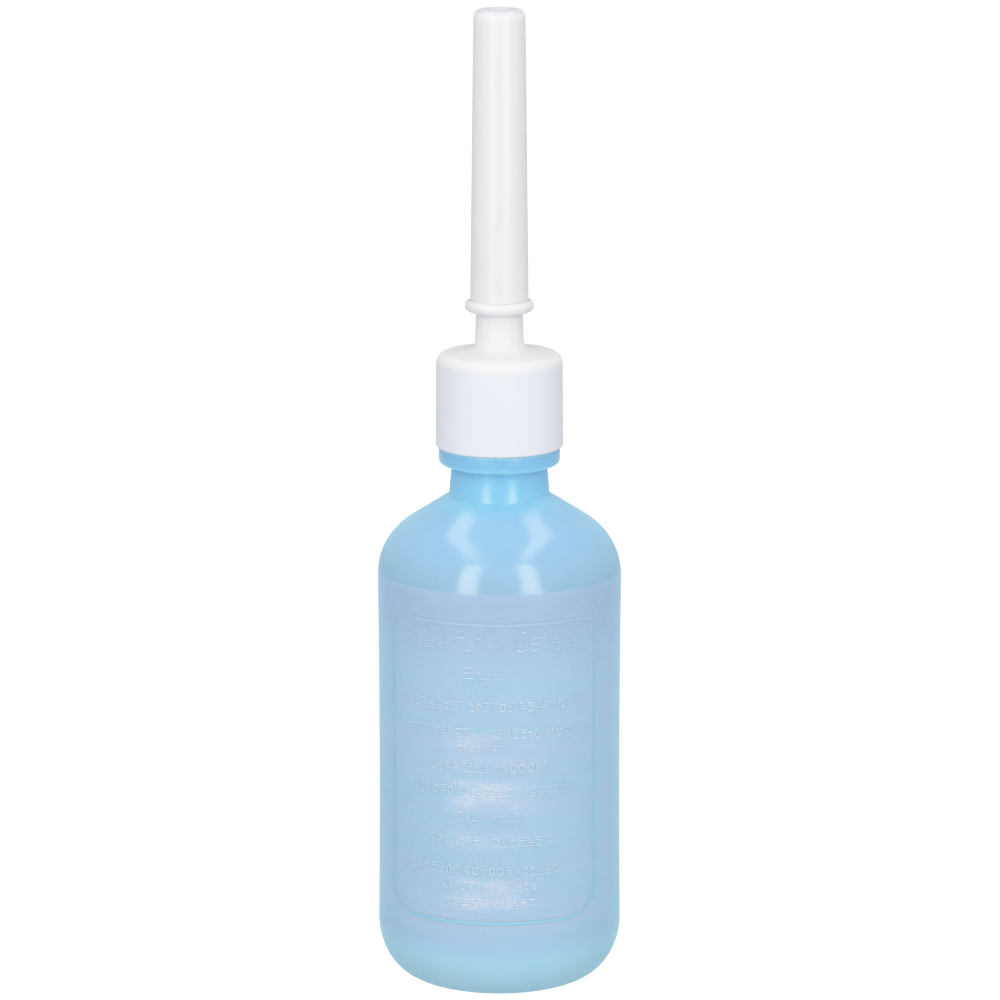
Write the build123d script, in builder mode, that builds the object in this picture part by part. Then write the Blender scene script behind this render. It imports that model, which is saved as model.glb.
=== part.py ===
"""Squeeze-bottle irrigator for washing out ear wax.

A soft blow-moulded bottle carries a screw cap with a hollow spigot. A washer in the cap seals on the
bottle's lip, and a long nozzle tube with a grip flange is pushed onto the spigot. Squeezing the bottle
drives the liquid through the washer, the spigot and the nozzle.

Frame: millimetres, +Z up along the axis of the bottle, origin at the centre of the base, on the plane
that the bottle stands on. The embossed label frame faces -Y.
"""

import os
from math import asin, cos, degrees, radians, sin, tan

from build123d import *

# Bottle body
WALL = 1.0
BASE_RADIUS = 29.3
BASE_CORNER_WIDTH = 9.9
BASE_CORNER_HEIGHT = 13.7
WAIST_RADIUS = 28.97
WAIST_Z = 52.0
SHOULDER_RADIUS = 29.15
SHOULDER_Z = 98.6
SHOULDER_ARC = 16.0
SHOULDER_SWEEP = 57.3
PUSH_UP_RADIUS = 15.5
PUSH_UP_HEIGHT = 2.2

# Neck and its finish
NECK_BASE_RADIUS = 12.03
NECK_TOP_RADIUS = 11.35
NECK_BORE_RADIUS = 10.2
BEAD_RADIUS = 14.45
BEAD_BOTTOM_Z = 125.85
BEAD_TOP_Z = 129.86
BEAD_CORNER = 1.2
BEAD_TOP_CORNER = 0.4
FINISH_RADIUS = 12.55
LIP_Z = 149.2
LIP_ROUND = 0.6

# Screw thread of the bottle and the cap, right-handed with one start
PITCH = 4.233
TURNS = 1.5
RIDGE_ROOT_WIDTH = 2.2
RIDGE_CREST_WIDTH = 0.9
RIDGE_SINK = 0.3
BOTTLE_THREAD_Z = 140.2
BOTTLE_THREAD_CREST = 13.7
CAP_THREAD_CREST = 12.8
CAP_THREAD_DROP = 1.75

# Embossed frame on the front of the bottle
FRAME_TURN = -4.5
FRAME_HALF_ANGLE = 56.9
FRAME_BOTTOM_Z = 19.55
FRAME_TOP_Z = 93.65
FRAME_TOP_CORNER = 3.95
FRAME_BOTTOM_CORNER = 6.55
FRAME_LINE = 1.7
FRAME_RELIEF = 0.12
FRAME_SINK = 0.5

# Sealing washer, clamped between the lip and the ceiling of the cap
WASHER_RADIUS = 13.2
WASHER_HOLE_RADIUS = 8.0
WASHER_THICKNESS = 1.2

# Screw cap
CAP_BOTTOM_Z = 130.06
CAP_BOTTOM_RADIUS = 15.2
CAP_BOTTOM_ROUND = 0.5
CAP_TOP_RADIUS = 15.02
CAP_TOP_Z = 152.34
CAP_TOP_ROUND = 2.6
CAP_INNER_RADIUS = 13.95
CAP_DOME_RISE = 1.2
SPIGOT_BASE_RADIUS = 5.93
SPIGOT_TOP_RADIUS = 5.0
SPIGOT_TOP_Z = 176.0
SPIGOT_FILLET = 1.6
SPIGOT_CHAMFER = 0.4
SPIGOT_BORE_RADIUS = 3.6

# Nozzle tube
NOZZLE_BOTTOM_Z = 162.5
FLANGE_RADIUS = 8.2
FLANGE_HEIGHT = 2.8
FLANGE_BOTTOM_ROUND = 1.3
FLANGE_TOP_ROUND = 1.25
TUBE_RADIUS = 6.93
TIP_Z = 234.2
TIP_RADIUS = 6.12
TIP_ROUND = 2.1
SOCKET_CLEARANCE = 0.05
SOCKET_END_GAP = 0.4
TUBE_BORE_RADIUS = 4.4
OUTLET_RADIUS = 2.9
OUTLET_LENGTH = 8.0
OUTLET_ROUND = 1.0

PUSH_UP_SPHERE = (PUSH_UP_RADIUS**2 + PUSH_UP_HEIGHT**2) / (2 * PUSH_UP_HEIGHT)
CEILING_Z = LIP_Z + WASHER_THICKNESS
SPIGOT_FOOT_Z = CAP_TOP_Z + CAP_DOME_RISE


def spigot_radius(z):
    """Radius of the tapered spigot at height z."""
    slope = (SPIGOT_TOP_RADIUS - SPIGOT_BASE_RADIUS) / (SPIGOT_TOP_Z - SPIGOT_FOOT_Z)
    return SPIGOT_BASE_RADIUS + slope * (z - SPIGOT_FOOT_Z)


def shoulder_end(inset):
    """Radius and height where the shoulder's arc meets its cone, on a surface inset from the outside."""
    reach = SHOULDER_ARC - inset
    radius = SHOULDER_RADIUS - SHOULDER_ARC + reach * cos(radians(SHOULDER_SWEEP))
    return radius, SHOULDER_Z + reach * sin(radians(SHOULDER_SWEEP))


def cone_point(radius, inset):
    """Radius and height of the point where the shoulder's cone has the given radius."""
    arc_radius, arc_z = shoulder_end(inset)
    return radius, arc_z + (arc_radius - radius) / tan(radians(SHOULDER_SWEEP))


def draw_side(inset):
    """Draws the slightly waisted side, from the base corner to the shoulder."""
    ThreePointArc(
        (BASE_RADIUS - inset, BASE_CORNER_HEIGHT),
        (WAIST_RADIUS - inset, WAIST_Z),
        (SHOULDER_RADIUS - inset, SHOULDER_Z),
    )


def draw_body(inset):
    """Draws the base, side and shoulder, from the middle of the base to the end of the shoulder's arc."""
    corner_x = BASE_RADIUS - BASE_CORNER_WIDTH
    dome_centre = (0, PUSH_UP_HEIGHT - PUSH_UP_SPHERE + inset)
    dome_angle = degrees(asin(PUSH_UP_RADIUS / PUSH_UP_SPHERE))
    CenterArc(dome_centre, PUSH_UP_SPHERE, 90 - dome_angle, dome_angle)
    Line((PUSH_UP_RADIUS, inset), (corner_x, inset))
    EllipticalCenterArc(
        (corner_x, BASE_CORNER_HEIGHT),
        BASE_CORNER_WIDTH - inset,
        BASE_CORNER_HEIGHT - inset,
        -90,
        arc_size=90,
    )
    draw_side(inset)
    shoulder_x = SHOULDER_RADIUS - SHOULDER_ARC
    CenterArc((shoulder_x, SHOULDER_Z), SHOULDER_ARC - inset, 0, SHOULDER_SWEEP)


def frame_outline(inset):
    """Draws the label frame as seen from the front. Its upright lines look thinner there, at an angle."""
    half_width = WAIST_RADIUS * sin(radians(FRAME_HALF_ANGLE)) - inset * cos(radians(FRAME_HALF_ANGLE))
    bottom, top = FRAME_BOTTOM_Z + inset, FRAME_TOP_Z - inset
    bottom_corner, top_corner = FRAME_BOTTOM_CORNER - inset, FRAME_TOP_CORNER - inset
    FilletPolyline(
        (-half_width, bottom),
        (half_width, bottom),
        (half_width, top),
        (-half_width, top),
        radius=[bottom_corner, bottom_corner, top_corner, top_corner],
        close=True,
    )


def thread_ridge(root_radius, crest_radius, start_z):
    """One helical ridge of trapezoid section, whose root sinks into the wall that carries it."""
    height = crest_radius - root_radius
    sink = -RIDGE_SINK if height > 0 else RIDGE_SINK
    half_root = RIDGE_ROOT_WIDTH / 2
    half_crest = RIDGE_CREST_WIDTH / 2
    with BuildPart() as ridge:
        with BuildLine():
            path = Helix(PITCH, PITCH * TURNS, root_radius, center=(0, 0, start_z))
        with BuildSketch(Plane(path @ 0, x_dir=(1, 0, 0), z_dir=path % 0)):
            with BuildLine():
                Polyline(
                    (sink, -half_root),
                    (0, -half_root),
                    (height, -half_crest),
                    (height, half_crest),
                    (0, half_root),
                    (sink, half_root),
                    close=True,
                )
            make_face()
        sweep(path=path, is_frenet=True)
    return ridge.part


with BuildPart() as label_frame:
    with BuildSketch(Plane.XZ):
        with BuildLine():
            draw_side(FRAME_SINK)
            draw_side(-FRAME_RELIEF)
            for z, radius in ((BASE_CORNER_HEIGHT, BASE_RADIUS), (SHOULDER_Z, SHOULDER_RADIUS)):
                Line((radius - FRAME_SINK, z), (radius + FRAME_RELIEF, z))
        make_face()
    revolve(axis=Axis.Z)
    with BuildSketch(Plane.XZ):
        for inset, mode in ((0, Mode.ADD), (FRAME_LINE, Mode.SUBTRACT)):
            with BuildLine():
                frame_outline(inset)
            make_face(mode=mode)
    extrude(amount=2 * BASE_RADIUS, mode=Mode.INTERSECT)

with BuildPart() as bottle:
    with BuildSketch(Plane.XZ):
        with BuildLine():
            draw_body(0)
            Polyline(
                shoulder_end(0),
                cone_point(NECK_BASE_RADIUS, 0),
                (NECK_TOP_RADIUS, BEAD_BOTTOM_Z),
            )
            FilletPolyline(
                (NECK_TOP_RADIUS, BEAD_BOTTOM_Z),
                (BEAD_RADIUS, BEAD_BOTTOM_Z),
                (BEAD_RADIUS, BEAD_TOP_Z),
                (FINISH_RADIUS, BEAD_TOP_Z),
                radius=[BEAD_CORNER, BEAD_TOP_CORNER],
            )
            FilletPolyline(
                (FINISH_RADIUS, BEAD_TOP_Z), (FINISH_RADIUS, LIP_Z), (0, LIP_Z), radius=LIP_ROUND
            )
            Line((0, LIP_Z), (0, PUSH_UP_HEIGHT))
        make_face()
    revolve(axis=Axis.Z)
    add(thread_ridge(FINISH_RADIUS, BOTTLE_THREAD_CREST, BOTTLE_THREAD_Z))
    add(label_frame.part.rotate(Axis.Z, FRAME_TURN))
    with BuildSketch(Plane.XZ):
        with BuildLine():
            draw_body(WALL)
            Polyline(
                shoulder_end(WALL),
                cone_point(NECK_BORE_RADIUS, WALL),
                (NECK_BORE_RADIUS, LIP_Z),
                (0, LIP_Z),
                (0, PUSH_UP_HEIGHT + WALL),
            )
        make_face()
    revolve(axis=Axis.Z, mode=Mode.SUBTRACT)
bottle.part.label = "bottle"

with BuildPart() as sealing_washer:
    with BuildSketch(Plane.XY.offset(LIP_Z)):
        Circle(WASHER_RADIUS)
        Circle(WASHER_HOLE_RADIUS, mode=Mode.SUBTRACT)
    extrude(amount=WASHER_THICKNESS)
sealing_washer.part.label = "sealing_washer"

with BuildPart() as screw_cap:
    with BuildSketch(Plane.XZ):
        with BuildLine():
            FilletPolyline(
                (CAP_INNER_RADIUS, CAP_BOTTOM_Z),
                (CAP_BOTTOM_RADIUS, CAP_BOTTOM_Z),
                (CAP_TOP_RADIUS, CAP_TOP_Z),
                (SPIGOT_BASE_RADIUS, SPIGOT_FOOT_Z),
                (SPIGOT_TOP_RADIUS, SPIGOT_TOP_Z),
                radius=[CAP_BOTTOM_ROUND, CAP_TOP_ROUND, SPIGOT_FILLET],
            )
            Polyline(
                (SPIGOT_TOP_RADIUS, SPIGOT_TOP_Z),
                (SPIGOT_BORE_RADIUS, SPIGOT_TOP_Z),
                (SPIGOT_BORE_RADIUS, CEILING_Z),
                (CAP_INNER_RADIUS, CEILING_Z),
                (CAP_INNER_RADIUS, CAP_BOTTOM_Z),
            )
        make_face()
    revolve(axis=Axis.Z)
    chamfer(screw_cap.edges().group_by(Axis.Z)[-1], SPIGOT_CHAMFER)
    add(thread_ridge(CAP_INNER_RADIUS, CAP_THREAD_CREST, BOTTLE_THREAD_Z - CAP_THREAD_DROP))
screw_cap.part.label = "screw_cap"

with BuildPart() as nozzle_tube:
    socket_top = SPIGOT_TOP_Z + SOCKET_END_GAP
    flange_top = NOZZLE_BOTTOM_Z + FLANGE_HEIGHT
    with BuildSketch(Plane.XZ):
        with BuildLine():
            FilletPolyline(
                (spigot_radius(NOZZLE_BOTTOM_Z) + SOCKET_CLEARANCE, NOZZLE_BOTTOM_Z),
                (FLANGE_RADIUS, NOZZLE_BOTTOM_Z),
                (FLANGE_RADIUS, flange_top),
                (TUBE_RADIUS, flange_top),
                radius=[FLANGE_BOTTOM_ROUND, FLANGE_TOP_ROUND],
            )
            FilletPolyline(
                (TUBE_RADIUS, flange_top),
                (TIP_RADIUS, TIP_Z),
                (OUTLET_RADIUS, TIP_Z),
                (OUTLET_RADIUS, TIP_Z - OUTLET_LENGTH),
                radius=[TIP_ROUND, OUTLET_ROUND],
            )
            Polyline(
                (OUTLET_RADIUS, TIP_Z - OUTLET_LENGTH),
                (TUBE_BORE_RADIUS, socket_top),
                (spigot_radius(socket_top) + SOCKET_CLEARANCE, socket_top),
                (spigot_radius(NOZZLE_BOTTOM_Z) + SOCKET_CLEARANCE, NOZZLE_BOTTOM_Z),
            )
        make_face()
    revolve(axis=Axis.Z)
nozzle_tube.part.label = "nozzle_tube"

os.makedirs("parts", exist_ok=True)
for piece in (bottle, sealing_washer, screw_cap, nozzle_tube):
    export_step(piece.part, f"parts/{piece.part.label}.step")
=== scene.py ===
"""The looks of a squeeze-bottle irrigator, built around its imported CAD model.

Metres, +Z up, origin at the centre of the base. Each CAD solid is replaced by a turned mesh that follows it
and has the moulding details and the material that the solid leaves out. Angles are in degrees, counted
round the axis from the front (-Y) towards the right (+X).
"""

import math

import bpy
import numpy as np
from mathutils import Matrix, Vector


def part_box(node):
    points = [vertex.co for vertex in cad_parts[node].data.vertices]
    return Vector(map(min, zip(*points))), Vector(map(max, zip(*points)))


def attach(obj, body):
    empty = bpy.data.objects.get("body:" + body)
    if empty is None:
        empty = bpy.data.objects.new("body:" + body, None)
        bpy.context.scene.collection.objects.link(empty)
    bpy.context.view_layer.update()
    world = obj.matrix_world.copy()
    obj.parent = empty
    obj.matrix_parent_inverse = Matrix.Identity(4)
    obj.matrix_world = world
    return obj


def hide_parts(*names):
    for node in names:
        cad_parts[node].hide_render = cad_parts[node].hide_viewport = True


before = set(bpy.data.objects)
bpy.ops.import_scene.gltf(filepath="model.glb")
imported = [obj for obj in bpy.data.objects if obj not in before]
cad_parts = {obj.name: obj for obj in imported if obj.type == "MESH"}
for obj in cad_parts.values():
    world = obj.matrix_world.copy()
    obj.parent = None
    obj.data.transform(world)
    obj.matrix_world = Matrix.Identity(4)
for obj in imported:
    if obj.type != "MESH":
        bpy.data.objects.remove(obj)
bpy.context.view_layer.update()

MM = 0.001

bottle_low, bottle_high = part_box("bottle")
washer_low, washer_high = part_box("sealing_washer")
cap_low, cap_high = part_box("screw_cap")
nozzle_low, nozzle_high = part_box("nozzle_tube")

# Bottle. BASE_CORNER is the ellipse that rounds the base: its half axes, across and up
WALL = 1.0 * MM
BASE_RADIUS = -bottle_low.x
BASE_CORNER = (9.9 * MM, 13.7 * MM)
WAIST_RADIUS = 28.97 * MM
WAIST_Z = 52.0 * MM
SHOULDER_RADIUS = 29.15 * MM
SHOULDER_Z = 98.6 * MM
SHOULDER_ARC = 16.0 * MM
SHOULDER_SWEEP = 57.3
PUSH_UP_RADIUS = 15.5 * MM
PUSH_UP_HEIGHT = 2.2 * MM
PUSH_UP_SPHERE = (PUSH_UP_RADIUS**2 + PUSH_UP_HEIGHT**2) / (2 * PUSH_UP_HEIGHT)
NECK_BASE_RADIUS = 12.03 * MM
NECK_TOP_RADIUS = 11.35 * MM
NECK_BORE_RADIUS = 10.2 * MM
BEAD_RADIUS = 14.45 * MM
BEAD_Z = (125.85 * MM, 129.96 * MM)
FINISH_RADIUS = 12.55 * MM
LIP_Z = bottle_high.z

# The side is slightly waisted: its radius is a parabola of the height, fitted to three heights
SIDE = np.polyfit([BASE_CORNER[1], WAIST_Z, SHOULDER_Z], [BASE_RADIUS, WAIST_RADIUS, SHOULDER_RADIUS], 2)

# Roundings in mm: foot of the neck, under the bead, bead's lower and upper edge, foot of the finish, lip
# outside and inside, foot of the bore
NECK_ROUNDINGS = (1.2, 0.5, 1.2, 0.2, 0.3, 0.6, 0.4, 3.0)

# Pinch-off bead under the base, in mm. For each loop: how far it is set in, and how far it stands down
PINCH_HALF_LENGTH = 12
PINCH_HALF_WIDTH = 0.6
PINCH_CORNER = 0.5
PINCH_LOOPS = ((0, -0.2), (0, 0.15), (0.1, 0.3), (0.3, 0.4))

# Thread. The ridges run through TURNS from THREAD_START, and fade over THREAD_FADE of a turn at both ends
PITCH = 4.233 * MM
TURNS = 1.5
RIDGE_ROOT = 2.2 * MM
RIDGE_CREST = 0.9 * MM
BOTTLE_THREAD_Z = 140.2 * MM
BOTTLE_THREAD_CREST = 13.7 * MM
THREAD_WALL_MARGIN = 0.1 * MM
CAP_THREAD_DROP = 1.75 * MM
CAP_THREAD_CREST = 12.8 * MM
THREAD_START = 90.0
THREAD_FADE = 20.0 / 360.0
CAP_THREAD_CLEARANCE = 1.0 * MM

# Blasted panel, and the raised frame and marks on it. A raised line starts and ends CROWN_SUNK below the
# surface, and its sides go on down to RELIEF_SUNK
PANEL_TOP_Z = (100.2 * MM, 100.5 * MM)
PANEL_BOTTOM_Z = (9.0 * MM, 19.0 * MM)
FRAME_CENTRE = -4.5
FRAME_HALF_ANGLE = 56.9
FRAME_Z = (19.55 * MM, 93.65 * MM)
FRAME_LINE = 1.3 * MM
FRAME_TOP_CORNER = 3.95 * MM
FRAME_BOTTOM_CORNER = 6.55 * MM
FRAME_HEIGHT = 0.023 * MM
MARK_HEIGHT = 0.07 * MM
MARK_LINE = 0.45 * MM
CROWN_SUNK = 0.012 * MM
RELIEF_SUNK = 0.15 * MM

# Mould parting lines. A ridge ends SEAM_REACH half widths from its middle, and fades over SEAM_FADE below
# the neck bead
SEAM_HEIGHT = 0.06 * MM
SEAM_HALF_WIDTH = 0.25 * MM
SEAM_REACH = 1.5
SEAM_FADE = 4 * MM

# Rows of plain raised marks: height of the middle and size in mm, then the first and last angle
MARK_ROWS = [
    (88.9, 5.0, -47, 38),
    (80.6, 4.4, -17, 6),
    (73.1, 2.2, -52, 46),
    (66.6, 2.2, -50, 41),
    (62.9, 1.8, -20, 2),
    (58.3, 2.2, -34, 26),
    (52.4, 2.2, -44, 39),
    (46.3, 2.0, -20, 10),
    (40.2, 2.2, -34, 32),
    (33.0, 2.2, -50, 32),
    (29.3, 1.8, -28, 20),
    (24.9, 2.2, -26, 20),
]

# Half widths as shares of the row's size; gap in mm and as a share of that size; least number of marks in a
# group, and the number it stays below; extra gap after a group, in gaps
MARK_SEED = 11
MARK_HALF_WIDTHS = (0.28, 0.42)
MARK_GAP = (0.2, 0.08)
GROUP_SIZES = (3, 9)
GROUP_GAP = 1.5

# Rings: how many of the marks, and the corner radius as shares of the half width and of the inset
RING_SHARE = 0.2
RING_CORNER = (0.7, 0.6)

# Dashes, where a ring isn't: how many on how many levels, their lengths as shares of the mark's, and for
# each loop how far it is set in, as a share of the dash's half height, and how far it stands out
DASHES = 3
DASH_LEVELS = [-0.9, -0.3, 0.3, 0.9]
DASH_LENGTHS = (0.4, 1.0)
DASH_CORNER = 0.9
DASH_LOOPS = ((0, -RELIEF_SUNK), (0.15, 0.0), (0.4, 0.7 * MARK_HEIGHT), (0.75, MARK_HEIGHT))

# Cap, wider at its rim than at its top. Its profile starts on the rim, CAP_RIM in from the outside
CAP_RADIUS = (cap_high.x, 15.02 * MM)
CAP_TOP_Z = 152.34 * MM
CAP_DOME_RISE = 1.2 * MM
CAP_INNER_RADIUS = 13.95 * MM
CAP_RIM = 0.6 * MM
CEILING_Z = washer_high.z
SPIGOT_BASE_RADIUS = 5.93 * MM
SPIGOT_TOP_RADIUS = 5.0 * MM
SPIGOT_BORE_RADIUS = 3.6 * MM
SPIGOT_TOP_Z = cap_high.z

# Roundings in mm: rim outside, shoulder, foot and top of the spigot, spigot's bore at the top and at the
# bottom, ceiling, rim inside
CAP_ROUNDINGS = (0.5, 2.6, 1.6, 0.4, 0.2, 0.3, 0.4, 0.2)

# Washer
WASHER_HOLE_RADIUS = 8.0 * MM
WASHER_ROUNDING = 0.2 * MM

# Nozzle. Its profile starts on the flange's underside, SOCKET_RIM out from the socket
FLANGE_RADIUS = nozzle_high.x
FLANGE_HEIGHT = 2.8 * MM
TUBE_RADIUS = 6.93 * MM
TIP_RADIUS = 6.12 * MM
OUTLET_RADIUS = 2.9 * MM
OUTLET_LENGTH = 8.0 * MM
TUBE_BORE_RADIUS = 4.4 * MM
SOCKET_CLEARANCE = 0.05 * MM
SOCKET_END_GAP = 0.4 * MM
SOCKET_RIM = 0.5 * MM

# Roundings in mm: flange's lower and upper edge, foot of the tube, tip, outlet's mouth and end, bore's end,
# socket's end and mouth
NOZZLE_ROUNDINGS = (1.35, 1.25, 0.2, 2.1, 1.0, 2.0, 0.2, 0.2, 0.3)

# Mesh density: points along arcs, steps round corners, longest steps, and columns round the axis
PUSH_UP_POINTS = 10
BASE_CORNER_POINTS = 22
SHOULDER_POINTS = 24
OUTSIDE_STEP = 1.3 * MM
INSIDE_STEP = 6.0 * MM
THREAD_STEP = 0.28 * MM
HALF_COLUMNS = 130
SEAM_GAP = 2.0
SEAM_COLUMNS = np.array([-SEAM_GAP, -0.8, -0.5, -0.25, 0.0, 0.25, 0.5, 0.8])
FRAME_CROWN_POINTS = 13
FRAME_CORNER_STEPS = 12
FRAME_SIDE_STEPS = 50
RING_CROWN_POINTS = 9
MARK_CORNER_STEPS = 4
PINCH_CORNER_STEPS = 5
PINCH_SIDE_STEPS = 16
EDGE_STEPS = 8
CAP_STEP = 0.4 * MM
NOZZLE_STEP = 1.5 * MM
CAP_COLUMNS = np.arange(0, 360, 2.0)
WASHER_COLUMNS = np.arange(0, 360, 3.0)
NOZZLE_COLUMNS = np.arange(0, 360, 3.0)

# Blue plastic: colours, and the heights between which one blends into the next
NECK_BLUE = (0.25, 0.56, 0.83, 1)
NECK_BLEND_Z = (114 * MM, 119 * MM)
BEAD_BLUE = (0.23, 0.51, 0.79, 1)
BEAD_BLEND_Z = (BEAD_Z[0] - 0.5 * MM, BEAD_Z[0])
# Painted light: the bead's upper edge under the cap, and its lower edge with the neck just below it, are
# painted lighter to fill their shade
BEAD_EDGE_PAINTED_LIGHT = (0.36, 0.72, 1.0, 1)
BEAD_LOWER_PAINTED_LIGHT_Z = ((124.9 * MM, 125.6 * MM), (125.9 * MM, 127.2 * MM))
BEAD_UPPER_PAINTED_LIGHT_Z = (129.4 * MM, 129.8 * MM)
SHOULDER_BLUES = ((0.295, 0.48, 0.67, 1), (0.268, 0.475, 0.775, 1))
SHOULDER_BLEND_Z = (101 * MM, 114 * MM)
BASE_BLUES = ((0.42, 0.67, 1.0, 1), (0.40, 0.67, 1.0, 1))
PANEL_BLUES = ((0.365, 0.567, 0.795, 1), (0.40, 0.547, 0.795, 1))
PANEL_TOP_BLUE = (0.36, 0.49, 0.70, 1)
PANEL_TOP_BLEND_Z = (75 * MM, 98 * MM)
MARK_BLUES = ((0.43, 0.61, 0.79, 1), (0.45, 0.61, 0.79, 1))
FRAME_BLUES = ((0.262, 0.553, 0.78, 1), (0.272, 0.553, 0.78, 1))
# Painted highlight: the colour of the glints painted on the front
PAINTED_GLINT_BLUE = (0.62, 0.70, 0.92, 1)

# Painted highlight on the front, glints in bands: where it fades in and out, and for each band its height
# and half height in mm and its strength; then the least share of the fine flecks and of the coarse ones
GLINT_X = ((-15 * MM, -8 * MM), (-2 * MM, 12 * MM))
GLINT_Y = (-20 * MM, -10 * MM)
GLINT_BANDS = [(64.5, 0.6, 0.6), (59.5, 0.5, 0.45), (51.2, 2.6, 0.92), (40.5, 0.8, 0.45), (27.4, 2.6, 1.0)]
GLINT_BAND_FADE = 2.5
GLINT_LEAST = (0.25, 0.2)

# Blue plastic: gloss, and the size and depth of its unevenness
SHOULDER_ROUGHNESS = (0.15, 0.20)
NECK_ROUGHNESS = (0.2, 0.25)
BASE_ROUGHNESS = (0.30, 0.36)
PANEL_ROUGHNESS_SPREAD = 0.06
CLOUD_SIZE = 14 * MM
STREAK_SIZE = 4 * MM
STREAK_STRETCH = 12.0
PATCH_SIZE = 5 * MM
WAVE_SIZE = 7 * MM
WAVE_DEPTH = 0.06 * MM
GRAIN_SIZE = 0.45 * MM
# The next four set the fine flecks and the coarse rows of the painted glints
FLECK_SIZE = 0.45 * MM
FLECK_STRETCH = 1.2
GLINT_ROW_SIZE = 3.5 * MM
GLINT_ROW_STRETCH = 3.0

# White plastic: gloss, and the size and depth of its unevenness
WHITE_ROUGHNESS_SPREAD = 0.03
WHITE_CLOUD_SIZE = 9 * MM
WHITE_PATCH_SIZE = 2 * MM
WHITE_GRAIN_SIZE = 0.5 * MM
WHITE_GRAIN_DEPTH = 0.006 * MM

# The parts of the noise's range, which is about 0.2 to 0.8, over which a colour or a gloss changes
NARROW = (0.35, 0.65)
WIDE = (0.3, 0.7)
GLINT_ROW_RANGE = (0.35, 0.6)

# Camera, at the product's middle height and tilted down a little, with a long lens
AIM = Vector((0.14 * MM, 0, 116.7 * MM))
CAMERA_PITCH = math.radians(12.6)
CAMERA_DISTANCE = 1142 * MM
CAMERA_LENS = 172.3
CAMERA_SENSOR = 36

# Lights: sizes and places in metres
SIDE_LIGHT_AZIMUTH = math.radians(30)
SIDE_LIGHT_DISTANCE = 0.8
SIDE_LIGHT_FOOT_Z = 0.04
SIDE_LIGHT_SIZE = (0.25, 0.96)
SIDE_LIGHT_RADIANCE = 4.9
TOP_LIGHT_HEIGHT = 0.9
TOP_LIGHT_SIZE = (0.2, 1.0)
TOP_LIGHT_SPREAD = 0.37
TOP_LIGHT_RADIANCE = 2.95

# The tone curve of the camera: radiances and how they are shown, up to the one shown as white
TONE_WHITE = 1.5
TONE_CURVE = [(0.2, 0.2), (0.4, 0.4), (0.6, 0.6), (0.8, 0.76), (1.0, 0.88), (1.2, 0.955)]

# Backdrop
BACKGROUND_RADIANCE = 1.5
WORLD_RADIANCE = 0.62
FLOOR_RADIANCE = 0.42
FLOOR_HALF = 6.0
FLOOR_Z = -0.02 * MM


def arc(centre, radii, start, end, count):
    """Points (radius, height) along an elliptical arc."""
    angle = np.radians(np.linspace(start, end, count))
    return np.stack([centre[0] + radii[0] * np.cos(angle), centre[1] + radii[1] * np.sin(angle)], 1)


def rounded(points, radii, steps=5):
    """A run of straight lines whose corners are rounded to the given radii, each in so many steps."""
    points = [np.array(p, float) for p in points]
    path = [points[0]]
    for before, corner, after, radius in zip(points[:-2], points[1:-1], points[2:], radii, strict=True):
        a = (before - corner) / np.linalg.norm(before - corner)
        b = (after - corner) / np.linalg.norm(after - corner)
        half = math.acos(float(a @ b)) / 2
        centre = corner + (a + b) / np.linalg.norm(a + b) * radius / math.sin(half)
        first = corner + a * radius / math.tan(half) - centre
        last = corner + b * radius / math.tan(half) - centre
        turn = math.atan2(first[0] * last[1] - first[1] * last[0], float(first @ last))
        for k in range(steps + 1):
            c, s = math.cos(turn * k / steps), math.sin(turn * k / steps)
            path.append(centre + np.array([c * first[0] - s * first[1], s * first[0] + c * first[1]]))
    path.append(points[-1])
    return np.array(path)


def divided(path, longest):
    """The same path, with points added so that no step is longer than asked."""
    out = [path[0]]
    for a, b in zip(path, path[1:]):
        count = max(1, math.ceil(np.linalg.norm(b - a) / longest))
        out += [a + (b - a) * k / count for k in range(1, count + 1)]
    return np.array(out)


def smooth(value):
    """Smooth step from 0 to 1 as value goes from 0 to 1."""
    value = np.clip(value, 0, 1)
    return value * value * (3 - 2 * value)


def add_piece(name, points, faces):
    """A smooth-shaded mesh object in the scene."""
    mesh = bpy.data.meshes.new(name)
    mesh.from_pydata(np.asarray(points).tolist(), [], faces)
    mesh.polygons.foreach_set("use_smooth", [True] * len(mesh.polygons))
    mesh.update()
    piece = bpy.data.objects.new(name, mesh)
    bpy.context.scene.collection.objects.link(piece)
    return piece


def quads(one, other):
    """Faces between rows of points and the rows next to them, each row a closed loop."""
    return np.stack([one, np.roll(one, -1, 1), np.roll(other, -1, 1), other], -1).reshape(-1, 4).tolist()


def turned(name, profile, angles, relief=None):
    """A piece turned about Z. Its profile (radius, height) goes up the outside and down the inside. It
    starts and ends on the axis, or else closes on itself. relief(angle, height, radius, outside) is how far
    its points are moved out."""
    poles = profile[0][0] == 0
    rings = profile[1:-1] if poles else profile
    rows, columns = len(rings), len(angles)
    angle = np.broadcast_to(angles, (rows, columns))
    radius = np.repeat(rings[:, :1], columns, 1)
    height = np.repeat(rings[:, 1:], columns, 1)
    if relief is not None:
        outside = np.arange(rows)[:, None] <= np.argmax(rings[:, 1])
        radius = radius + relief(angle, height, radius, outside)
    turn = np.radians(angle)
    points = np.stack([radius * np.sin(turn), -radius * np.cos(turn), height], -1).reshape(-1, 3)
    index = np.arange(rows * columns).reshape(rows, columns)
    lower, upper = (index[:-1], index[1:]) if poles else (index, np.roll(index, -1, 0))
    faces = quads(lower, upper)
    if poles:
        points = np.concatenate([points, [(0, 0, profile[0][1]), (0, 0, profile[-1][1])]])
        first, last = rows * columns, rows * columns + 1
        faces += [(first, int(b), int(a)) for a, b in zip(index[0], np.roll(index[0], -1))]
        faces += [(last, int(a), int(b)) for a, b in zip(index[-1], np.roll(index[-1], -1))]
    return add_piece(name, points, faces)


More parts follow.
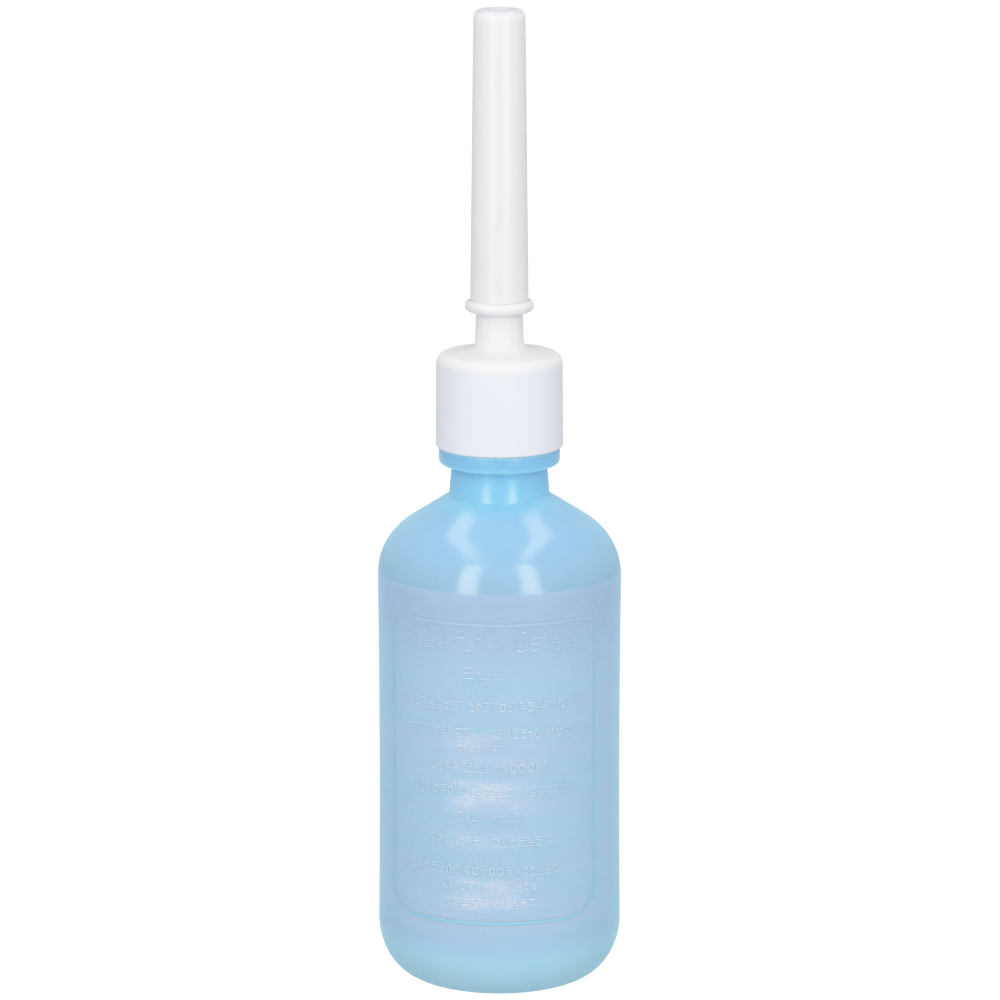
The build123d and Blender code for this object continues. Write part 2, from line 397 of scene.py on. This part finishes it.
def rounded_box(half_width, half_height, corners, steps, across_steps=1, up_steps=1):
    """An upright box as a loop of points (across, up). corners is its top and its bottom corner radius.
    Each corner has the given number of points, and each side the given number of steps."""
    top, bottom = corners
    arcs = []
    for k, (side, up, radius) in enumerate([(1, 1, top), (-1, 1, top), (-1, -1, bottom), (1, -1, bottom)]):
        centre = (side * (half_width - radius), up * (half_height - radius))
        arcs.append(arc(centre, (radius, radius), 90 * k, 90 * k + 90, steps))
    loop = []
    for k in range(4):
        start, end = arcs[k][-1], arcs[(k + 1) % 4][0]
        count = up_steps if k % 2 else across_steps
        loop += [arcs[k], start + (end - start) * np.arange(1, count)[:, None] / count]
    return np.concatenate(loop)


def skin(sections, ring):
    """Faces over closed loops of points, from the outermost inwards. In a ring the last loop joins the
    first; otherwise those two are closed by caps."""
    count, size = len(sections), len(sections[0])
    index = np.arange(count * size).reshape(count, size)
    outer, inner = (index, np.roll(index, -1, 0)) if ring else (index[:-1], index[1:])
    faces = quads(outer, inner)
    if not ring:
        faces += [index[0][::-1].tolist(), index[-1].tolist()]
    return np.concatenate(sections), faces


def joined(parts):
    """One list of points and one of faces from several."""
    points, faces = [], []
    for part_points, part_faces in parts:
        start = sum(len(p) for p in points)
        points.append(part_points)
        faces += [[start + i for i in face] for face in part_faces]
    return np.concatenate(points), faces


def thread(angle, height, start_z):
    """The helical ridge, from 0 on its wall to 1 on its crest. It fades in and out at its two ends."""
    out = np.zeros_like(height)
    for lap in range(-1, math.ceil(TURNS) + 1):
        turns = (angle - THREAD_START) / 360.0 + lap
        away = np.abs(height - start_z - PITCH * turns)
        ridge = smooth((RIDGE_ROOT / 2 - away) / ((RIDGE_ROOT - RIDGE_CREST) / 2))
        fade = smooth(turns / THREAD_FADE) * smooth((TURNS - turns) / THREAD_FADE)
        out = np.maximum(out, ridge * fade)
    return out


# Bottle

def shoulder_end(inset):
    """Where the shoulder's arc meets its cone, on a surface inset from the outside."""
    turn = math.radians(SHOULDER_SWEEP)
    reach = SHOULDER_ARC - inset
    radius = SHOULDER_RADIUS - SHOULDER_ARC + reach * math.cos(turn)
    return np.array([radius, SHOULDER_Z + reach * math.sin(turn)])


def cone_point(radius, inset):
    """Where the shoulder's cone has the given radius."""
    end = shoulder_end(inset)
    return np.array([radius, end[1] + (end[0] - radius) / math.tan(math.radians(SHOULDER_SWEEP))])


def body_profile(inset, step):
    """Base, side and shoulder from the axis to the end of the shoulder's arc, inset from the outside."""
    dome_centre = (0, PUSH_UP_HEIGHT - PUSH_UP_SPHERE + inset)
    dome_angle = math.degrees(math.asin(PUSH_UP_RADIUS / PUSH_UP_SPHERE))
    dome = arc(dome_centre, (PUSH_UP_SPHERE, PUSH_UP_SPHERE), 90, 90 - dome_angle, PUSH_UP_POINTS)
    dome[0, 0] = 0.0
    corner_centre = (BASE_RADIUS - BASE_CORNER[0], BASE_CORNER[1])
    corner_radii = (BASE_CORNER[0] - inset, BASE_CORNER[1] - inset)
    corner = arc(corner_centre, corner_radii, -90, 0, BASE_CORNER_POINTS)
    z = np.linspace(BASE_CORNER[1], SHOULDER_Z, math.ceil((SHOULDER_Z - BASE_CORNER[1]) / step))
    side = np.stack([np.polyval(SIDE, z) - inset, z], 1)
    reach = SHOULDER_ARC - inset
    shoulder_centre = (SHOULDER_RADIUS - SHOULDER_ARC, SHOULDER_Z)
    shoulder = arc(shoulder_centre, (reach, reach), 0, SHOULDER_SWEEP, SHOULDER_POINTS)
    return np.concatenate([dome, corner, side[1:-1], shoulder])


def bottle_profile():
    """The bottle's outside up to the lip, then its inside down to the base."""
    neck = rounded(
        [
            shoulder_end(0),
            cone_point(NECK_BASE_RADIUS, 0),
            (NECK_TOP_RADIUS, BEAD_Z[0]),
            (BEAD_RADIUS, BEAD_Z[0]),
            (BEAD_RADIUS, BEAD_Z[1]),
            (FINISH_RADIUS, BEAD_Z[1]),
            (FINISH_RADIUS, LIP_Z),
            (NECK_BORE_RADIUS, LIP_Z),
            cone_point(NECK_BORE_RADIUS, WALL),
            shoulder_end(WALL),
        ],
        [radius * MM for radius in NECK_ROUNDINGS],
    )
    finish = np.flatnonzero((neck[:, 1] > BEAD_Z[1]) & (neck[:, 0] > FINISH_RADIUS - THREAD_WALL_MARGIN))
    start, end = finish[0], finish[-1] + 1
    neck = np.concatenate([neck[1:start], divided(neck[start:end], THREAD_STEP), neck[end:-1]])
    return np.concatenate([body_profile(0, OUTSIDE_STEP), neck, body_profile(WALL, INSIDE_STEP)[::-1]])


def seam_relief(angle, height, radius):
    """The two mould parting lines, on the side and shoulder and never past the widest ring."""
    away = np.abs((angle - FRAME_CENTRE) % 180 - 90) * np.radians(radius)
    ridge = smooth(SEAM_REACH - away / SEAM_HALF_WIDTH) * smooth((BEAD_Z[0] - height) / SEAM_FADE)
    return np.minimum(ridge * SEAM_HEIGHT, BASE_RADIUS - radius)


def bottle_relief(angle, height, radius, outside):
    """How far the bottle's surface stands out of its turned shape."""
    out = thread(angle, height, BOTTLE_THREAD_Z) * (BOTTLE_THREAD_CREST - FINISH_RADIUS)
    return np.where(outside, out + seam_relief(angle, height, radius), 0)


def bottle_angles():
    """Columns close together at the two parting lines and even elsewhere."""
    left, right = FRAME_CENTRE - 90, FRAME_CENTRE + 90
    front = np.linspace(left + SEAM_GAP, right - SEAM_GAP, HALF_COLUMNS)[:-1]
    back = np.linspace(right + SEAM_GAP, left + 360 - SEAM_GAP, HALF_COLUMNS)[:-1]
    return np.concatenate([front, right + SEAM_COLUMNS, back, left + 360 + SEAM_COLUMNS])


def on_side(across, up, lift):
    """Points on the bottle's side, lifted off it. across is an angle in radians, from the front."""
    radius = np.polyval(SIDE, up) + lift
    return np.stack([radius * np.sin(across), -radius * np.cos(across), up], 1)


def crown(count, height):
    """Steps over a raised line of this height: the share of its width, and how far it stands out there."""
    share = np.linspace(0, 1, count)
    lift = (height + CROWN_SUNK) * np.sin(np.pi * share) ** 2 - CROWN_SUNK
    return zip([0, *share, 1], [-RELIEF_SUNK, *lift, -RELIEF_SUNK])


def frame_part():
    """The raised frame. Its sides are upright and its corners round when seen from the front."""
    middle, half_height = (FRAME_Z[1] + FRAME_Z[0]) / 2, (FRAME_Z[1] - FRAME_Z[0]) / 2
    sections = []
    for share, lift in crown(FRAME_CROWN_POINTS, FRAME_HEIGHT):
        inset = share * FRAME_LINE
        half_width = math.sin(math.radians(FRAME_HALF_ANGLE) - inset / WAIST_RADIUS) * WAIST_RADIUS
        corners = (FRAME_TOP_CORNER - inset, FRAME_BOTTOM_CORNER - inset)
        steps = (FRAME_CORNER_STEPS, FRAME_SIDE_STEPS, FRAME_SIDE_STEPS)
        loop = rounded_box(half_width, half_height - inset, corners, *steps)
        across = np.arcsin(loop[:, 0] / WAIST_RADIUS) + math.radians(FRAME_CENTRE)
        sections.append(on_side(across, loop[:, 1] + middle, lift))
    return skin(sections, True)


def ring_mark(place, up, half_width, half_height):
    """One raised ring round the given place. place and the sizes are in metres along the surface."""
    sections = []
    for share, lift in crown(RING_CROWN_POINTS, MARK_HEIGHT):
        inset = share * MARK_LINE
        corner = half_width * RING_CORNER[0] - inset * RING_CORNER[1]
        loop = rounded_box(half_width - inset, half_height - inset, (corner, corner), MARK_CORNER_STEPS)
        sections.append(on_side((loop[:, 0] + place) / WAIST_RADIUS, loop[:, 1] + up, lift))
    return skin(sections, True)


def dash_mark(place, up, half_width):
    """One short raised dash, flat on top, round the given place."""
    half_height = MARK_LINE / 2
    sections = []
    for share, lift in DASH_LOOPS:
        corners = (half_height * (1 - share) * DASH_CORNER,) * 2
        half_size = (half_width - share * half_height, half_height * (1 - share))
        loop = rounded_box(*half_size, corners, MARK_CORNER_STEPS)
        sections.append(on_side((loop[:, 0] + place) / WAIST_RADIUS, loop[:, 1] + up, lift))
    return skin(sections, False)


def dash_marks(random, place, up, half_width, half_height):
    """A few dashes of different lengths, each on a level of its own."""
    parts = []
    for level in random.choice(DASH_LEVELS, DASHES, replace=False):
        share = random.uniform(*DASH_LENGTHS)
        shift = random.uniform(share - 1, 1 - share) * half_width
        parts.append(dash_mark(place + shift, up + level * half_height, half_width * share))
    return parts


def mark_parts():
    """Rows of rings and dashes in groups of a few. They spell nothing."""
    random = np.random.default_rng(MARK_SEED)
    parts = []
    for up, size, first, last in MARK_ROWS:
        place, end = math.radians(first) * WAIST_RADIUS, math.radians(last) * WAIST_RADIUS
        half_height = size * MM / 2
        gap = (MARK_GAP[0] + MARK_GAP[1] * size) * MM
        while place < end:
            for _ in range(random.integers(*GROUP_SIZES)):
                half_width = random.uniform(*MARK_HALF_WIDTHS) * size * MM
                if place + 2 * half_width > end:
                    place = end
                    break
                middle = place + half_width
                if random.random() < RING_SHARE:
                    parts.append(ring_mark(middle, up * MM, half_width, half_height))
                else:
                    parts += dash_marks(random, middle, up * MM, half_width, half_height)
                place += 2 * half_width + gap
            place += gap * GROUP_GAP
    return parts


def pinch_off_part():
    """The flattened bead across the base where the mould's halves pinched the parison."""
    sections = []
    for inset, drop in PINCH_LOOPS:
        half_size = ((PINCH_HALF_LENGTH - inset) * MM, (PINCH_HALF_WIDTH - inset) * MM)
        corners = ((PINCH_CORNER - inset) * MM,) * 2
        loop = rounded_box(*half_size, corners, PINCH_CORNER_STEPS, PINCH_SIDE_STEPS)[::-1]
        x, y = loop[:, 0], loop[:, 1]
        height = PUSH_UP_HEIGHT - PUSH_UP_SPHERE + np.sqrt(PUSH_UP_SPHERE**2 - x**2 - y**2)
        sections.append(np.stack([x, y, height - drop * MM], 1))
    return skin(sections, False)


# Materials

def new_material(name, **values):
    """A node material, its node tree and its main shader, whose sockets have these values."""
    material = bpy.data.materials.new(name)
    material.use_nodes = True
    shader = material.node_tree.nodes["Principled BSDF"]
    for socket, value in values.items():
        shader.inputs[socket.replace("_", " ")].default_value = value
    return material, material.node_tree, shader


def noise(tree, size, detail=2.0, stretch=1.0):
    """Noise in the piece's own space, from about 0.2 to 0.8, whose features are about this size in metres,
    and longer sideways by the given stretch."""
    scaled = tree.nodes.new("ShaderNodeVectorMath")
    scaled.operation = "MULTIPLY"
    scaled.inputs[1].default_value = (1 / size / stretch, 1 / size / stretch, 1 / size)
    tree.links.new(tree.nodes.new("ShaderNodeTexCoord").outputs["Object"], scaled.inputs[0])
    texture = tree.nodes.new("ShaderNodeTexNoise")
    texture.inputs["Scale"].default_value = 1.0
    texture.inputs["Detail"].default_value = detail
    tree.links.new(scaled.outputs["Vector"], texture.inputs["Vector"])
    return texture.outputs["Fac"]


def mapped(tree, value, start, end, low=0, high=1):
    """low where the value is below start, high where it is above end, and smoothly between them."""
    node = tree.nodes.new("ShaderNodeMapRange")
    node.interpolation_type = "SMOOTHSTEP"
    for socket, number in zip(("From Min", "From Max", "To Min", "To Max"), (start, end, low, high)):
        node.inputs[socket].default_value = number
    tree.links.new(value, node.inputs["Value"])
    return node.outputs["Result"]


def places(tree):
    """The three coordinates in the piece's own space."""
    split = tree.nodes.new("ShaderNodeSeparateXYZ")
    tree.links.new(tree.nodes.new("ShaderNodeTexCoord").outputs["Object"], split.inputs["Vector"])
    return split.outputs


def maths(tree, operation, first, second):
    """The result of one sum on two values, each a socket or a number."""
    node = tree.nodes.new("ShaderNodeMath")
    node.operation = operation
    for socket, value in zip(node.inputs, (first, second)):
        if isinstance(value, (int, float)):
            socket.default_value = value
        else:
            tree.links.new(value, socket)
    return node.outputs["Value"]


def multiplied(tree, *values):
    """The product of two or more values."""
    product = values[0]
    for value in values[1:]:
        product = maths(tree, "MULTIPLY", product, value)
    return product


def mixed(tree, share, first, second):
    """A value between two."""
    node = tree.nodes.new("ShaderNodeMix")
    for socket, value in zip(node.inputs[0:1] + node.inputs[2:4], (share, first, second)):
        tree.links.new(value, socket)
    return node.outputs[0]


def blended(tree, share, first, second):
    """A colour between two, each a socket or a plain colour."""
    node = tree.nodes.new("ShaderNodeMix")
    node.data_type = "RGBA"
    tree.links.new(share, node.inputs[0])
    for socket, value in ((node.inputs[6], first), (node.inputs[7], second)):
        if isinstance(value, tuple):
            socket.default_value = value
        else:
            tree.links.new(value, socket)
    return node.outputs[2]


def bumped(tree, shader, layers):
    """Bump from several height fields. Each layer is a value and its depth in metres."""
    normal = None
    for value, depth in layers:
        bump = tree.nodes.new("ShaderNodeBump")
        bump.inputs["Distance"].default_value = depth
        tree.links.new(value, bump.inputs["Height"])
        if normal is not None:
            tree.links.new(normal, bump.inputs["Normal"])
        normal = bump.outputs["Normal"]
    tree.links.new(normal, shader.inputs["Normal"])


def finish_piece(piece, node, body, material):
    """The piece takes the place of its CAD node, has its material slot and moves with its body."""
    piece.data.materials.append(material)
    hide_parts(node)
    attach(piece, body)


def painted_glints(tree, x, y, z):
    """Where the front is painted with glints, a painted highlight: flecks in bands, a little to the left of
    the middle.
    """
    flecks = mapped(tree, noise(tree, FLECK_SIZE, 2.0, FLECK_STRETCH), *NARROW, GLINT_LEAST[0], 1)
    rows = mapped(tree, noise(tree, GLINT_ROW_SIZE, 1.0, GLINT_ROW_STRETCH), *GLINT_ROW_RANGE, GLINT_LEAST[1], 1)
    middle = multiplied(tree, mapped(tree, x, *GLINT_X[0]), mapped(tree, x, *GLINT_X[1], 1, 0))
    front = multiplied(tree, mapped(tree, y, *GLINT_Y, 1, 0), middle)
    bands = 0.0
    for up, half, strength in GLINT_BANDS:
        above = mapped(tree, z, (up + half) * MM, (up + half + GLINT_BAND_FADE) * MM, strength, 0)
        below = mapped(tree, z, (up - half - GLINT_BAND_FADE) * MM, (up - half) * MM)
        bands = maths(tree, "MAXIMUM", multiplied(tree, above, below), bands)
    return multiplied(tree, flecks, multiplied(tree, front, bands, rows))


def painted_bead_edge_light(tree, z):
    """Painted light along the upper and lower edge of the neck bead, lighter where the cap and the bead
    shade them.
    """
    start, end = BEAD_LOWER_PAINTED_LIGHT_Z
    lower = multiplied(tree, mapped(tree, z, *start), mapped(tree, z, *end, 1, 0))
    return maths(tree, "MAXIMUM", lower, mapped(tree, z, *BEAD_UPPER_PAINTED_LIGHT_Z))


def blue_color(tree, x, y, z, panel, panel_blues):
    """The blues of base, shoulder, neck and bead, those given for the panel, painted light on the bead's
    edges and painted glints.
    """
    cloud = mapped(tree, noise(tree, CLOUD_SIZE), *NARROW)
    streak = mapped(tree, noise(tree, STREAK_SIZE, 2.0, STREAK_STRETCH), *NARROW)
    panel_color = blended(tree, streak, *panel_blues)
    panel_color = blended(tree, mapped(tree, z, *PANEL_TOP_BLEND_Z), panel_color, PANEL_TOP_BLUE)
    color = blended(tree, mapped(tree, z, *SHOULDER_BLEND_Z), *SHOULDER_BLUES)
    color = blended(tree, mapped(tree, z, *NECK_BLEND_Z), color, NECK_BLUE)
    color = blended(tree, mapped(tree, z, *BEAD_BLEND_Z), color, BEAD_BLUE)
    # Painted light along the bead's edges, where the cap and the bead shade them
    color = blended(tree, painted_bead_edge_light(tree, z), color, BEAD_EDGE_PAINTED_LIGHT)
    base_color = blended(tree, cloud, *BASE_BLUES)
    color = blended(tree, mapped(tree, z, *PANEL_BOTTOM_Z, 1, 0), color, base_color)
    color = blended(tree, panel, color, panel_color)
    # Painted highlight: glints laid over the blues on the front
    return blended(tree, painted_glints(tree, x, y, z), color, PAINTED_GLINT_BLUE)


def blue_roughness(tree, z, panel_roughness):
    """Satin on the base, matt as given on the panel, and glossy above it."""
    patches = noise(tree, PATCH_SIZE)
    shoulder = mapped(tree, patches, *WIDE, *SHOULDER_ROUGHNESS)
    neck = mapped(tree, patches, *WIDE, *NECK_ROUGHNESS)
    base = mapped(tree, patches, *WIDE, *BASE_ROUGHNESS)
    least, most = panel_roughness - PANEL_ROUGHNESS_SPREAD, panel_roughness + PANEL_ROUGHNESS_SPREAD
    panel = mapped(tree, patches, *WIDE, least, most)
    lower = mixed(tree, mapped(tree, z, *PANEL_BOTTOM_Z), base, panel)
    upper = mixed(tree, mapped(tree, z, *NECK_BLEND_Z), shoulder, neck)
    return mixed(tree, mapped(tree, z, *PANEL_TOP_Z, 1, 0), upper, lower)


def blue_plastic(name, panel_blues, panel_roughness, grain_depth, depth, gloss):
    """Light blue polyethylene. The panel's blues, roughness and grain are given, and so is how much of the
    light goes into the plastic."""
    material, tree, shader = new_material(
        name,
        IOR=1.51,
        Specular_IOR_Level=gloss,
        Subsurface_Weight=depth,
        Subsurface_Radius=(0.8, 1.0, 1.2),
        Subsurface_Scale=1.5 * MM,
        Sheen_Weight=1.0,
        Sheen_Roughness=0.5,
        Sheen_Tint=(0.42, 0.78, 1.0, 1),
    )
    x, y, z = places(tree)
    panel = multiplied(tree, mapped(tree, z, *PANEL_BOTTOM_Z), mapped(tree, z, *PANEL_TOP_Z, 1, 0))
    tree.links.new(blue_color(tree, x, y, z, panel, panel_blues), shader.inputs["Base Color"])
    tree.links.new(blue_roughness(tree, z, panel_roughness), shader.inputs["Roughness"])
    waves = noise(tree, WAVE_SIZE, 0.0)
    grain = multiplied(tree, noise(tree, GRAIN_SIZE, 1.0), panel)
    bumped(tree, shader, [(waves, WAVE_DEPTH), (grain, grain_depth)])
    return material


def white_plastic(name, light, dark, roughness, gloss, upper, upper_z):
    """Translucent white moulded plastic between two shades. Between the two heights of upper_z it changes
    to the shade upper."""
    material, tree, shader = new_material(
        name,
        IOR=1.5,
        Specular_IOR_Level=gloss,
        Subsurface_Weight=0.6,
        Subsurface_Radius=(1.0, 1.0, 1.0),
        Subsurface_Scale=1.5 * MM,
    )
    cloud = mapped(tree, noise(tree, WHITE_CLOUD_SIZE), *WIDE)
    color = blended(tree, cloud, light, dark)
    color = blended(tree, mapped(tree, places(tree)[2], *upper_z), color, upper)
    tree.links.new(color, shader.inputs["Base Color"])
    least, most = roughness - WHITE_ROUGHNESS_SPREAD, roughness + WHITE_ROUGHNESS_SPREAD
    satin = mapped(tree, noise(tree, WHITE_PATCH_SIZE), *WIDE, least, most)
    tree.links.new(satin, shader.inputs["Roughness"])
    bumped(tree, shader, [(noise(tree, WHITE_GRAIN_SIZE), WHITE_GRAIN_DEPTH)])
    return material


bottle = turned("bottle_shell", bottle_profile(), bottle_angles(), bottle_relief)
blown = blue_plastic(
    name="blue_polyethylene",
    panel_blues=PANEL_BLUES,
    panel_roughness=0.5,
    grain_depth=0.055 * MM,
    depth=1.0,
    gloss=0.6,
)
finish_piece(bottle, "bottle", "bottle", blown)
polished = blue_plastic(
    name="blue_polyethylene_polished",
    panel_blues=FRAME_BLUES,
    panel_roughness=0.4,
    grain_depth=0.02 * MM,
    depth=0.0,
    gloss=0.5,
)
raised_frame = add_piece("raised_frame", *frame_part())
finish_piece(raised_frame, "bottle", "bottle", polished)
raised_marks = add_piece("raised_marks", *joined(mark_parts()))
worn = blue_plastic(
    name="blue_polyethylene_worn",
    panel_blues=MARK_BLUES,
    panel_roughness=0.2,
    grain_depth=0.01 * MM,
    depth=0.0,
    gloss=1.0,
)
finish_piece(raised_marks, "bottle", "bottle", worn)
pinch_off = add_piece("base_pinch_off", *pinch_off_part())
finish_piece(pinch_off, "bottle", "bottle", polished)


# Cap

def spigot_radius(z):
    """Radius of the tapered spigot at height z."""
    share = (z - CAP_TOP_Z - CAP_DOME_RISE) / (SPIGOT_TOP_Z - CAP_TOP_Z - CAP_DOME_RISE)
    return SPIGOT_BASE_RADIUS + (SPIGOT_TOP_RADIUS - SPIGOT_BASE_RADIUS) * share


def cap_profile():
    """The cap's skirt, domed top and spigot outside, then the spigot's bore and the skirt inside."""
    start = (CAP_RADIUS[0] - CAP_RIM, cap_low.z)
    return divided(
        rounded(
            [
                start,
                (CAP_RADIUS[0], cap_low.z),
                (CAP_RADIUS[1], CAP_TOP_Z),
                (SPIGOT_BASE_RADIUS, CAP_TOP_Z + CAP_DOME_RISE),
                (SPIGOT_TOP_RADIUS, SPIGOT_TOP_Z),
                (SPIGOT_BORE_RADIUS, SPIGOT_TOP_Z),
                (SPIGOT_BORE_RADIUS, CEILING_Z),
                (CAP_INNER_RADIUS, CEILING_Z),
                (CAP_INNER_RADIUS, cap_low.z),
                start,
            ],
            [radius * MM for radius in CAP_ROUNDINGS],
            EDGE_STEPS,
        ),
        CAP_STEP,
    )[:-1]


def cap_relief(angle, height, radius, outside):
    """The internal thread."""
    ridge = thread(angle, height, BOTTLE_THREAD_Z - CAP_THREAD_DROP) * (CAP_THREAD_CREST - CAP_INNER_RADIUS)
    return np.where(outside | (height > CEILING_Z - CAP_THREAD_CLEARANCE), 0, ridge)


cap = turned("cap_and_spigot", cap_profile(), CAP_COLUMNS, cap_relief)
cap_white = white_plastic(
    name="white_polypropylene",
    light=(0.75, 0.785, 0.875, 1),
    dark=(0.735, 0.775, 0.865, 1),
    roughness=0.38,
    gloss=0.3,
    upper=(0.755, 0.775, 0.79, 1),
    upper_z=(148.5 * MM, 151.5 * MM),
)
finish_piece(cap, "screw_cap", "cap", cap_white)


# Washer

def washer_profile():
    """A flat ring with slightly rounded edges."""
    inner, outer = WASHER_HOLE_RADIUS, washer_high.x
    corners = [(outer, washer_low.z), (outer, washer_high.z), (inner, washer_high.z), (inner, washer_low.z)]
    start = ((inner + outer) / 2, washer_low.z)
    return rounded([start, *corners, start], [WASHER_ROUNDING] * len(corners))[:-1]


washer = turned("lip_washer", washer_profile(), WASHER_COLUMNS)
foam = white_plastic(
    name="white_foam",
    light=(0.8, 0.8, 0.78, 1),
    dark=(0.75, 0.75, 0.73, 1),
    roughness=0.7,
    gloss=0.3,
    upper=(0.82, 0.82, 0.8, 1),
    upper_z=(washer_low.z, washer_high.z),
)
finish_piece(washer, "sealing_washer", "washer", foam)


# Nozzle

def nozzle_profile():
    """The flange, tube and rounded tip outside, then the outlet, bore and socket inside."""
    flange_top = nozzle_low.z + FLANGE_HEIGHT
    socket_top = SPIGOT_TOP_Z + SOCKET_END_GAP
    socket_low = (spigot_radius(nozzle_low.z) + SOCKET_CLEARANCE, nozzle_low.z)
    start = (socket_low[0] + SOCKET_RIM, nozzle_low.z)
    return divided(
        rounded(
            [
                start,
                (FLANGE_RADIUS, nozzle_low.z),
                (FLANGE_RADIUS, flange_top),
                (TUBE_RADIUS, flange_top),
                (TIP_RADIUS, nozzle_high.z),
                (OUTLET_RADIUS, nozzle_high.z),
                (OUTLET_RADIUS, nozzle_high.z - OUTLET_LENGTH),
                (TUBE_BORE_RADIUS, socket_top),
                (spigot_radius(socket_top) + SOCKET_CLEARANCE, socket_top),
                socket_low,
                start,
            ],
            [radius * MM for radius in NOZZLE_ROUNDINGS],
            EDGE_STEPS,
        ),
        NOZZLE_STEP,
    )[:-1]


nozzle = turned("nozzle", nozzle_profile(), NOZZLE_COLUMNS)
nozzle_white = white_plastic(
    name="white_polyethylene",
    light=(0.76, 0.77, 0.79, 1),
    dark=(0.745, 0.755, 0.78, 1),
    roughness=0.31,
    gloss=0.55,
    # Painted shade: the rounded tip is painted a darker grey
    upper=(0.62, 0.63, 0.68, 1),
    upper_z=(232.8 * MM, 234.0 * MM),
)
finish_piece(nozzle, "nozzle_tube", "nozzle", nozzle_white)


# Camera

camera_data = bpy.data.cameras.new("camera")
camera_data.lens = CAMERA_LENS
camera_data.sensor_width = CAMERA_SENSOR
camera = bpy.data.objects.new("camera", camera_data)
bpy.context.scene.collection.objects.link(camera)
back = Vector((0, -math.cos(CAMERA_PITCH), math.sin(CAMERA_PITCH)))
camera.location = AIM + back * CAMERA_DISTANCE
camera.rotation_euler = (math.pi / 2 - CAMERA_PITCH, 0, 0)
bpy.context.scene.camera = camera


# Studio

def shown_to_camera(tree, socket, radiance):
    """Makes a backdrop's socket show white to the camera, and light the product with this radiance."""
    path = tree.nodes.new("ShaderNodeLightPath")
    node = tree.nodes.new("ShaderNodeMapRange")
    node.inputs["To Min"].default_value = radiance
    node.inputs["To Max"].default_value = BACKGROUND_RADIANCE
    tree.links.new(path.outputs["Is Camera Ray"], node.inputs["Value"])
    tree.links.new(node.outputs["Result"], socket)


def softbox(name, centre, facing, size, radiance):
    """A rectangular light at centre that shines along facing. Size is its width and its height."""
    data = bpy.data.lights.new(name, "AREA")
    data.shape = "RECTANGLE"
    data.size, data.size_y = size
    data.energy = radiance * math.pi * size[0] * size[1]
    light = bpy.data.objects.new(name, data)
    light.location = centre
    light.rotation_euler = (-Vector(facing)).to_track_quat("Z", "Y").to_euler()
    bpy.context.scene.collection.objects.link(light)


for side, label in ((-1, "left"), (1, "right")):
    across = side * math.sin(SIDE_LIGHT_AZIMUTH)
    along = -math.cos(SIDE_LIGHT_AZIMUTH)
    up = SIDE_LIGHT_FOOT_Z + SIDE_LIGHT_SIZE[1] / 2
    centre = (across * SIDE_LIGHT_DISTANCE, along * SIDE_LIGHT_DISTANCE, up)
    softbox(f"side_softbox_{label}", centre, (-across, -along, 0), SIDE_LIGHT_SIZE, SIDE_LIGHT_RADIANCE)
    centre = (side * TOP_LIGHT_SPREAD, 0, AIM.z + TOP_LIGHT_HEIGHT)
    softbox(f"top_softbox_{label}", centre, (0, 0, -1), TOP_LIGHT_SIZE, TOP_LIGHT_RADIANCE)

world = bpy.data.worlds.new("studio")
world.use_nodes = True
background = world.node_tree.nodes["Background"]
background.inputs["Color"].default_value = (1, 1, 1, 1)
shown_to_camera(world.node_tree, background.inputs["Strength"], WORLD_RADIANCE)
bpy.context.scene.world = world

view = bpy.context.scene.view_settings
view.view_transform = "Standard"
view.use_curve_mapping = True
view.curve_mapping.white_level = (TONE_WHITE, TONE_WHITE, TONE_WHITE)
all_channels = view.curve_mapping.curves[3]
for radiance, shown in TONE_CURVE:
    all_channels.points.new(radiance / TONE_WHITE, shown)
view.curve_mapping.update()

floor_mesh = bpy.data.meshes.new("floor")
corners = [(x * FLOOR_HALF, y * FLOOR_HALF, FLOOR_Z) for x, y in ((-1, -1), (1, -1), (1, 1), (-1, 1))]
floor_mesh.from_pydata(corners, [], [(0, 1, 2, 3)])
floor = bpy.data.objects.new("floor", floor_mesh)
bpy.context.scene.collection.objects.link(floor)
floor_material, floor_tree, floor_shader = new_material(
    "pale_floor",
    Base_Color=(0.1, 0.1, 0.1, 1),
    Roughness=0.9,
    Specular_IOR_Level=0.0,
    Emission_Color=(1, 1, 1, 1),
)
shown_to_camera(floor_tree, floor_shader.inputs["Emission Strength"], FLOOR_RADIANCE)
floor_mesh.materials.append(floor_material)
